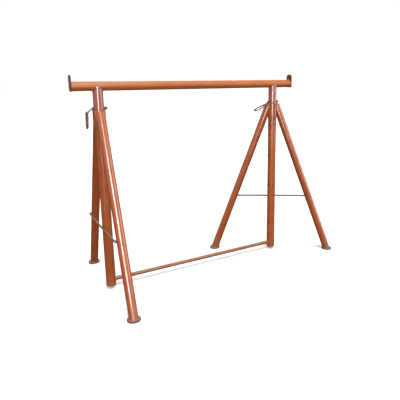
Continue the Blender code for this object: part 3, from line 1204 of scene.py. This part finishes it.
@dataclass
class LegSet(Assembly):
    """A sleeve with two splayed legs, their feet and a stay rod, which turn on an upright."""

    side: Side
    sleeve_radius: float = 0.03015
    sleeve_bore: float = SLEEVE_BORE
    leg_radius: float = 0.0212
    leg_wall: float = 0.0026
    apex_z: float = 0.9700
    top_drop: float = 0.0015
    foot_thickness: float = 0.0060
    foot_edge: float = 0.0020
    stay_radius: float = 0.0050
    stay_z: float = 0.3390
    stay_bow: float = 0.0045
    stay_overrun: float = 0.0120
    sleeve_bead: float = 0.0025
    foot_bead: float = 0.0019
    stay_bead: float = 0.0024

    def __post_init__(self) -> None:
        """Reads where the sleeve and the feet stand."""
        self.body = "legs_" + self.side.value
        low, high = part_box("sleeve_" + self.side.value)
        self.sleeve_low, self.sleeve_top = float(low[2]), float(high[2])
        self.pivot = np.array(((low[0] + high[0]) / 2, 0.0, 0.0))
        foot = centre_of(f"foot_{self.side.value}_back") * (1, 1, 0)
        self.reach = float(np.linalg.norm(foot - self.pivot))
        self.back = unit(foot - self.pivot)
        self.face = np.cross(self.back, UP) * (1.0 if self.side is Side.RIGHT else -1.0)
        self.directions = (("back", self.back), ("front", -self.back))

    def leg_axes(self, direction: Array) -> Axes:
        """Axes down a leg from its apex; across points away from the upright.

        Args:
            direction: The level direction in which the leg splays.

        Returns:
            The axes.
        """
        apex = self.pivot + UP * self.apex_z
        along = unit(self.pivot + direction * self.reach - apex)
        over = np.cross(UP, direction)
        return Axes(apex, np.cross(over, along), over, along)

    def leg_starts(self, axes: Axes, radii: Array, angles: Array) -> tuple[Array, Array]:
        """Where lines down a leg's wall meet the level cut and the sleeve.

        A line starts at P = r (cos a, sin a) off the axis. It meets the level cut at
        (top - Pz) / Dz, and the sleeve at the larger root of |Pxy + t Dxy| = radius.

        Args:
            axes: The leg's axes.
            radii: Distances off the axis.
            angles: Angles round it.

        Returns:
            Distances down the leg to the level cut and to the sleeve.
        """
        start = axes.ring(radii, angles)
        level = (self.sleeve_top - self.top_drop - start[..., 2]) / axes.along[2]
        off = (start - self.pivot)[..., :2]
        run = axes.along[:2]
        a = run @ run
        b = 2 * (off @ run)
        c = (off ** 2).sum(-1) - (self.sleeve_radius + GAP) ** 2
        return level, (-b + np.sqrt(b * b - 4 * a * c)) / (2 * a)

    def cope_seam(self, direction: Array) -> Array:
        """The line where a leg meets the sleeve, kept on the sleeve's wall and lower edge.

        Args:
            direction: The level direction in which the leg splays.

        Returns:
            The points of the line.
        """
        axes = self.leg_axes(direction)
        past = 0.6              # radians beyond the half turn that faces the sleeve
        angles = np.linspace(math.pi / 2 - past, 3 * math.pi / 2 + past, 1201)
        level, cope = self.leg_starts(axes, np.full(len(angles), self.leg_radius), angles)
        angles, cope = angles[cope > level], cope[cope > level]
        line = axes.ring(self.leg_radius, angles, cope)
        flat = unit((line - self.pivot) * (1, 1, 0)) * (self.sleeve_radius + 0.0004)
        line = self.pivot + flat + UP * np.maximum(line[:, 2:], self.sleeve_low + 0.0002)
        return resampled(line, SEAM_STEP, False)

    def foot_seam(self, direction: Array) -> Array:
        """The ring where a leg stands on its foot.

        Args:
            direction: The level direction in which the leg splays.

        Returns:
            The points of the ring.
        """
        axes = self.leg_axes(direction)
        angles = turn(SEAM_POINTS)
        start = axes.ring(self.leg_radius, angles)
        down = (self.foot_thickness + 0.0006 - start[:, 2]) / axes.along[2]
        return start + down[:, None] * axes.along

    def stay_spots(self) -> list[Array]:
        """The short lines where the stay rod is welded to the legs.

        Returns:
            Four lines, above and below the rod at each leg.
        """
        off = (self.apex_z - self.stay_z) * self.reach / self.apex_z
        run = np.linspace(-0.0075, 0.0075, 26)[:, None]
        spots = []
        for sign in (-1.0, 1.0):
            middle = self.pivot + self.back * off * sign + self.face * (self.leg_radius + 0.0006)
            for lift in (-0.0043, 0.0043):
                spots.append(middle + UP * (self.stay_z + lift) + self.back * run)
        return spots

    def seams(self) -> list[Array]:
        """Every weld line of the leg set.

        Returns:
            The lines.
        """
        lines = self.stay_spots()
        for _, direction in self.directions:
            lines += [self.cope_seam(direction), self.foot_seam(direction)]
        return lines

    def build_sleeve(self) -> None:
        """The sleeve: a wall's section turned about the upright's axis."""
        wall = Wall(self.sleeve_radius, self.sleeve_bore, 0.0007)
        radii, foot, head, level = wall.even(40, 12)
        heights = foot * self.sleeve_low + head * self.sleeve_top + level
        patch = turned(upright_axes(self.pivot[0]), radii, heights, 96, True,
                       end_wear(radii, heights, wall, 0.003))
        self.place("sleeve_tube_" + self.side.value, [patch], self.palette.sleeve, self.body,
                   "sleeve_" + self.side.value, self.seams())

    def build_leg(self, name: str, direction: Array) -> None:
        """A leg: the top end is the lower of the level cut and the sleeve, the foot is level.

        Args:
            name: Which leg of the set.
            direction: The level direction in which it splays.
        """
        wall = Wall(self.leg_radius, self.leg_radius - self.leg_wall, 0.0004)
        radii, foot, head, level = wall.even(150)
        axes = self.leg_axes(direction)
        angles = np.broadcast_to(turn(88), (len(radii), 88))
        cut, cope = self.leg_starts(axes, radii[:, None], angles)
        start = np.maximum(cut, cope)
        top = axes.ring(radii[:, None], angles)
        end = (self.foot_thickness + GAP - top[..., 2]) / axes.along[2]
        heights = foot[:, None] * start + head[:, None] * end + level[:, None]
        patch = turned(axes, radii, heights, 88, True,
                       end_wear(radii, heights.mean(axis=1), wall, 0.004))
        label = f"{self.side.value}_{name}"
        self.place("leg_tube_" + label, [patch], self.palette.leg, self.body,
                   "leg_" + label, self.seams())

    def build_foot(self, name: str, direction: Array) -> None:
        """A foot: a disc's profile with a rounded edge, turned about the vertical.

        Args:
            name: Which leg of the set.
            direction: The level direction in which the leg splays.
        """
        label = f"{self.side.value}_{name}"
        low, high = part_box("foot_" + label)
        radius = float(high[0] - low[0]) / 2
        bend = np.radians(np.linspace(90.0, 0.0, 7))
        edge = radius - self.foot_edge
        radii = np.concatenate((np.linspace(0.0, edge, 14)[:-1],
                                edge + self.foot_edge * np.cos(bend),
                                (radius, radius - 0.0003, radius - 0.0010),
                                np.linspace(edge - 0.002, 0.0, 6)))
        heights = np.concatenate((np.full(13, self.foot_thickness),
                                  self.foot_thickness - self.foot_edge * (1 - np.sin(bend)),
                                  (0.0010, 0.0003, 0.0), np.zeros(6)))
        worn = np.concatenate((np.linspace(0.0, 1.0, 14)[:-1] ** 5, np.ones(10), np.full(6, 0.4)))
        place = self.pivot + direction * self.reach
        patch = turned(upright_axes(place[0], place[1]), radii, heights, 96, wear=worn)
        self.place("foot_disc_" + label, [patch], self.palette.foot, self.body,
                   "foot_" + label, [self.foot_seam(direction)])

    def build_stay(self) -> None:
        """The stay rod: a bar on a line that bows out by (1 - x^4) between the legs."""
        half = (self.apex_z - self.stay_z) * self.reach / self.apex_z + self.stay_overrun
        share = np.linspace(-1.0, 1.0, 161)[:, None]
        out = self.leg_radius + self.stay_radius + GAP + self.stay_bow * (1 - share ** 4)
        path = self.pivot + UP * self.stay_z + self.back * half * share + self.face * out
        path, radii = capped(path, self.stay_radius, 0.0007)
        patch = swept(path, radii, np.broadcast_to(UP, path.shape), sides=28, wear=0.25)
        self.place("stay_bar_" + self.side.value, [patch], self.palette.stay, self.body,
                   "stay_rod_" + self.side.value, self.stay_spots())

    def build_welds(self) -> None:
        """Beads where the legs meet the sleeve and their feet, and where the stay is fixed."""
        paint, label = self.palette.weld, self.side.value
        for name, direction in self.directions:
            seam = self.cope_seam(direction)
            lean = seam - self.pivot - UP * self.sleeve_top
            beads = [bead(seam, self.sleeve_bead, lean, closed=False)]
            self.place(f"weld_sleeve_{label}_{name}", beads, paint, self.body)
            seam = resampled(self.foot_seam(direction), SEAM_STEP, True)
            lean = seam - (self.pivot + direction * self.reach + UP * 0.02)
            beads = [bead(seam, self.foot_bead, lean)]
            self.place(f"weld_foot_{label}_{name}", beads, paint, self.body)
        beads = [bead(spot, self.stay_bead, np.broadcast_to(self.face, spot.shape), closed=False)
                 for spot in self.stay_spots()]
        self.place("weld_stay_" + label, beads, paint, self.body)

    def build(self) -> None:
        """Builds every piece of the leg set."""
        self.build_sleeve()
        for name, direction in self.directions:
            self.build_leg(name, direction)
            self.build_foot(name, direction)
        self.build_stay()
        self.build_welds()


@dataclass
class ThrustWasher(Assembly):
    """The washer that carries the pin on top of a sleeve."""

    side: Side
    edge: float = 0.0006

    def build(self) -> None:
        """A rounded rectangle of a section, turned about the upright."""
        low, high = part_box("thrust_washer_" + self.side.value)
        radius = float(high[0] - low[0]) / 2
        wall = Wall(radius, SLEEVE_BORE, self.edge)
        radii, foot, head, level = wall.even(4, 4)
        heights = foot * low[2] + head * high[2] + level
        patch = turned(upright_axes(float(low[0] + high[0]) / 2), radii, heights, 96, True,
                       np.full(len(radii), 0.6))
        self.place("washer_ring_" + self.side.value, [patch], self.palette.washer,
                   "carriage_" + self.side.value,
                   "thrust_washer_" + self.side.value)


@dataclass
class LockPin(Assembly):
    """The pin through an upright, with its thin tail and the eye that holds the pull ring."""

    side: Side
    radius: float = PIN_RADIUS
    tip: float = 0.0390
    butt: float = 0.0310
    tail_radius: float = 0.0032
    eye_reach: float = 0.0560
    eye_drop: float = 0.0210
    eye_radius: float = 0.0075
    eye_hole: float = 0.0044
    eye_thickness: float = 0.0060

    def __post_init__(self) -> None:
        """Reads where the pin is."""
        low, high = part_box("lock_pin_" + self.side.value)
        self.axis = np.array((float(high[0]) - self.tip, 0.0, float(high[2]) - self.radius))
        self.eye = self.axis - np.array((self.eye_reach, 0.0, self.eye_drop))

    def build(self) -> None:
        """A turned pin, a tail swept from it to the eye, and the eye's ring."""
        tip, butt, cut = self.tip, -self.butt, 0.0009
        radii = np.array((0.0, self.radius - cut, self.radius, *([self.radius] * 24),
                          self.radius, self.radius - cut, 0.0))
        heights = np.array((butt, butt, butt + cut, *np.linspace(butt + 2 * cut, tip - 2 * cut, 24),
                            tip - cut, tip, tip))
        worn = np.concatenate((np.ones(3), np.full(24, 0.3), np.ones(3)))
        axes = Axes(self.axis, NORTH, UP, EAST)
        pin = turned(axes, radii, heights, 48, wear=worn)
        root = self.axis + np.array((-self.butt + self.tail_radius / 2, 0.0, 0.0))
        toward = unit(self.eye - root)
        reach = self.eye - toward * self.eye_hole * 1.25 - root
        line = root + reach * np.linspace(0.0, 1.0, 30)[:, None]
        path, thick = capped(line, self.tail_radius, 0.0005)
        tail = swept(path, thick, np.broadcast_to(NORTH, path.shape), sides=24)
        wall = Wall(self.eye_radius, self.eye_hole, 0.0009)
        eye_radii, foot, head, level = wall.even(6, 6)
        half = self.eye_thickness / 2
        eye_axes = Axes(self.eye, EAST, UP, -NORTH)
        eye = turned(eye_axes, eye_radii, foot * -half + head * half + level, 56, True,
                     np.full(len(eye_radii), 0.5))
        flow = level_axes(root[0] - self.tail_radius * 0.55, root[2]).ring(
            self.tail_radius, turn(120))
        seam = bead(flow, 0.0010, np.broadcast_to(-EAST, flow.shape))
        self.place("pin_bar_" + self.side.value, [pin, tail, eye, seam], self.palette.pin,
                   "pin_" + self.side.value, "lock_pin_" + self.side.value)


@dataclass
class PullRing(Assembly):
    """The oblong wire ring in a pin's eye."""

    pin: LockPin
    legs: LegSet
    length: float = 0.0720
    width: float = 0.0380
    wire: float = 0.0036
    lean_ratio: float = 1.15

    def build(self) -> None:
        """A wire swept round two half circles and two straights, with a swollen butt weld."""
        swivel = math.atan2(-self.legs.back[0], self.legs.back[1])
        lean = swivel * self.lean_ratio
        down = np.array((-math.sin(lean), 0.0, -math.cos(lean)))
        half = self.width / 2
        bend = np.linspace(0.0, math.pi, 61)
        upper = (half - half * np.sin(bend), half * np.cos(bend))
        lower = (self.length - half + half * np.sin(bend), -half * np.cos(bend))
        fall = np.concatenate((upper[0], lower[0]))[:, None]
        across = np.concatenate((upper[1], lower[1]))[:, None]
        path = resampled(self.pin.eye + down * fall + NORTH * across, 0.0008, True)
        share = np.arange(len(path)) / len(path)
        radii = self.wire * (1.0 + 0.14 * np.exp(-((share - 0.31) / 0.012) ** 2))
        normal = np.broadcast_to(np.cross(down, NORTH), path.shape)
        patch = swept(path, radii, normal, closed=True, sides=20, wear=0.3)
        label = self.pin.side.value
        self.place("ring_wire_" + label, [patch], self.palette.pin, "ring_" + label,
                   "pull_ring_" + label)


# ---- studio ------------------------------------------------------------------------
WHITE = (1.0, 1.0, 0.985, 1.0)


@dataclass
class Studio:
    """A pale floor, soft lights and the camera."""

    camera_place: tuple[float, float, float] = (-1.0325, -2.0794, 1.0885)
    yaw_deg: float = 30.534
    pitch_deg: float = 11.904
    lens: float = 37.72
    shift: tuple[float, float] = (-0.1085, -0.0943)
    ambient: float = 0.26
    mirrored: float = 1.05
    bounce: float = 0.32
    floor_mirrored: float = 0.08
    floor_glow: float = 0.20

    def add_camera(self) -> None:
        """The camera: columns right, up and back from its yaw and its pitch below level."""
        yaw, pitch = math.radians(self.yaw_deg), math.radians(self.pitch_deg)
        forward = Vector((math.sin(yaw) * math.cos(pitch), math.cos(yaw) * math.cos(pitch),
                          -math.sin(pitch)))
        right = Vector((math.cos(yaw), -math.sin(yaw), 0.0))
        above = right.cross(forward)
        data = bpy.data.cameras.new("camera")
        data.sensor_width = 36.0
        data.lens = self.lens
        data.shift_x, data.shift_y = self.shift
        data.clip_start, data.clip_end = 0.05, 100.0
        camera = show("camera", data)
        turned_to = Matrix((right, above, -forward)).transposed().to_4x4()
        camera.matrix_world = Matrix.Translation(Vector(self.camera_place)) @ turned_to
        bpy.context.scene.camera = camera

    def add_light(self, name: str, place: Sequence[float], aim: Sequence[float],
                  size: tuple[float, float], power: float, gloss_only: bool = False) -> None:
        """A rectangular soft light that faces a point.

        Args:
            name: The light's name.
            place: Where it hangs.
            aim: The point it faces.
            size: Its width and height.
            power: Its power in watts.
            gloss_only: Whether it shows only as a gleam on glossy surfaces.
        """
        data = bpy.data.lights.new(name, "AREA")
        data.shape = "RECTANGLE"
        data.size, data.size_y = size
        data.energy = power
        light = show(name, data)
        away = Vector(place) - Vector(aim)
        facing = away.to_track_quat("Z", "Y").to_matrix().to_4x4()
        light.matrix_world = Matrix.Translation(Vector(place)) @ facing
        light.visible_camera = False
        light.visible_diffuse = not gloss_only

    def add_sky_panel(self, toward: Sequence[float], strength: float, spread_deg: float) -> None:
        """A very wide, distant soft light, which reaches the whole floor alike.

        Args:
            toward: The direction from the object to the light.
            strength: Its irradiance.
            spread_deg: How wide it looks from the floor.
        """
        data = bpy.data.lights.new("sky_panel", "SUN")
        data.energy = strength
        data.angle = math.radians(spread_deg)
        light = show("sky_panel", data)
        light.matrix_world = Vector(toward).to_track_quat("Z", "Y").to_matrix().to_4x4()

    def add_floor(self) -> None:
        """A wide pale floor, slightly uneven in tone.

        It moves with a leg set, so that the trestle stands on it when it is raised too.
        """
        reach, level = 30.0, -0.0005
        mesh = bpy.data.meshes.new("floor")
        mesh.from_pydata([(-reach, -reach, level), (reach, -reach, level),
                          (reach, reach, level), (-reach, reach, level)], [], [(0, 1, 2, 3)])
        floor = show("floor", mesh)
        material, tree, shader = start_material("floor_white")
        noise = tree.noise(tree.place(), 1.4, 3.0)
        tint = tree.blend(noise, (0.90, 0.90, 0.885, 1), (0.87, 0.87, 0.86, 1))
        path = tree.add("ShaderNodeLightPath")
        seen = path.outputs["Is Camera Ray"]
        dark, dim = (self.floor_mirrored,) * 3, (self.bounce,) * 3
        unseen = tree.blend(path.outputs["Is Glossy Ray"], (*dim, 1), (*dark, 1))
        tint = tree.blend(seen, unseen, tint)
        glow = tree.between(seen, 0.0, self.floor_glow)
        tree.fill(shader, {"Base Color": tint, "Roughness": 0.9, "Specular IOR Level": 0.0,
                           "Emission Color": WHITE, "Emission Strength": glow})
        floor.data.materials.append(material)
        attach(floor, "carriage_left")

    def add_world(self) -> None:
        """White to the eye, and a dimmer even light on the object."""
        world = bpy.data.worlds.new("studio")
        bpy.context.scene.world = world
        world.use_nodes = True
        tree = Tree(world.node_tree)
        background = world.node_tree.nodes["Background"]
        path = tree.add("ShaderNodeLightPath")
        strength = tree.between(path.outputs["Is Glossy Ray"], self.ambient, self.mirrored)
        strength = tree.between(path.outputs["Is Camera Ray"], strength, 1.02)
        tree.fill(background, {"Color": WHITE, "Strength": strength})

    def build(self) -> None:
        """Sets up the whole studio."""
        bpy.context.scene.view_settings.view_transform = "Standard"
        self.add_floor()
        self.add_world()
        self.add_sky_panel((-0.04, -0.40, 0.91), 3.0, 40.0)
        self.add_light("back_fill", (1.6, 4.6, 2.4), (0.0, 0.0, 0.6), (2.5, 2.0), 70.0)
        self.add_light("key", (-1.6, -3.5, 1.9), (-0.1, 0.0, 0.6), (0.35, 1.6), 30.0)
        self.add_light("gleam", (-1.6, -3.5, 1.6), (-0.1, 0.0, 0.6), (0.14, 2.2), 260.0, True)
        self.add_light("sheen", (3.4, -2.0, 1.2), (0.0, 0.0, 0.6), (2.0, 3.0), 110.0, True)
        self.add_camera()


def main() -> None:
    """Builds the trestle, one sub-assembly after another, and then its studio."""
    logging.basicConfig(level=logging.INFO, format="%(name)s: %(message)s")
    palette = Palette()
    SlidingFrame(palette).build()
    for side in Side:
        legs = LegSet(palette, side)
        legs.build()
        ThrustWasher(palette, side).build()
        pin = LockPin(palette, side)
        pin.build()
        PullRing(palette, pin, legs).build()
    Studio().build()


if __name__ == "__main__":
    main()
